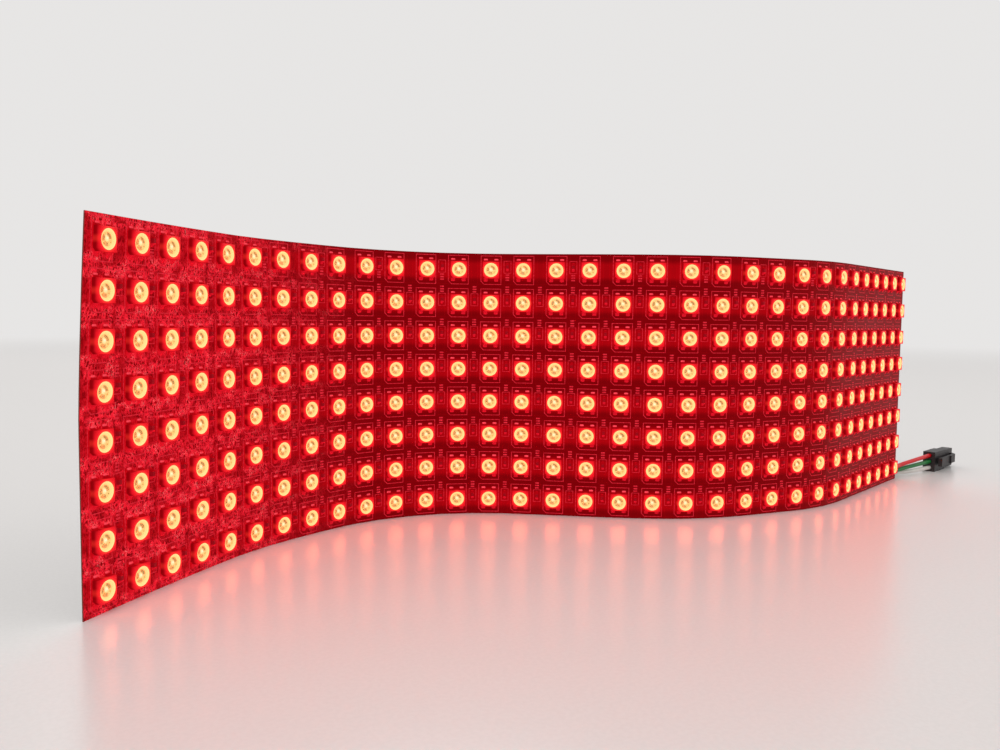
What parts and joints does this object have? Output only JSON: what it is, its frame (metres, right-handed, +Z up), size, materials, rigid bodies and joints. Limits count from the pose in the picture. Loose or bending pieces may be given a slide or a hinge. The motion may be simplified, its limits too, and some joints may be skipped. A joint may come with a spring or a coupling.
{
  "type": "flexible led dot matrix",
  "caption": "Flexible LED dot matrix standing on its long edge in an S-bend: rows of square LED packages on a thin circuit, with a three-wire lead and a latched plug.",
  "frame": {"origin": "middle of the footprint of the circuit with its LEDs, on the surface that its long edge stands on", "axes": "+X along the chord of the bend from the left end to the lead's end, +Z up, LEDs look towards -Y"},
  "size_m": [0.3376, 0.0621, 0.08],
  "materials": {
    "circuit": "glossy black cover layer over copper tracks, lit deep red",
    "housing": "moulded white resin glowing red",
    "lens": "clear resin over the lit chips",
    "tin": "bright tinned metal",
    "chip": "polished silicon",
    "ceramic": "fired ceramic",
    "red_cover": "soft red wire cover",
    "green_cover": "soft green wire cover",
    "white_cover": "soft white wire cover",
    "plug": "black moulded plastic"
  },
  "bodies": {
    "root": {"flex_circuit": "circuit", "led_housings_row_1": "housing", "led_housings_row_2": "housing", "led_housings_row_3": "housing", "led_housings_row_4": "housing", "led_housings_row_5": "housing", "led_housings_row_6": "housing", "led_housings_row_7": "housing", "led_housings_row_8": "housing", "led_lenses_row_1": "lens", "led_lenses_row_2": "lens", "led_lenses_row_3": "lens", "led_lenses_row_4": "lens", "led_lenses_row_5": "lens", "led_lenses_row_6": "lens", "led_lenses_row_7": "lens", "led_lenses_row_8": "lens", "led_terminals_row_1": "tin", "led_terminals_row_2": "tin", "led_terminals_row_3": "tin", "led_terminals_row_4": "tin", "led_terminals_row_5": "tin", "led_terminals_row_6": "tin", "led_terminals_row_7": "tin", "led_terminals_row_8": "tin", "driver_chips": "chip", "capacitor_bodies": "ceramic", "capacitor_ends": "tin", "back_pads": "tin", "wire_solder": "tin", "power_wire": "red_cover", "data_wire": "green_cover", "ground_wire": "white_cover", "plug_housing": "plug", "plug_contacts": "tin"}
  },
  "joints": []
}
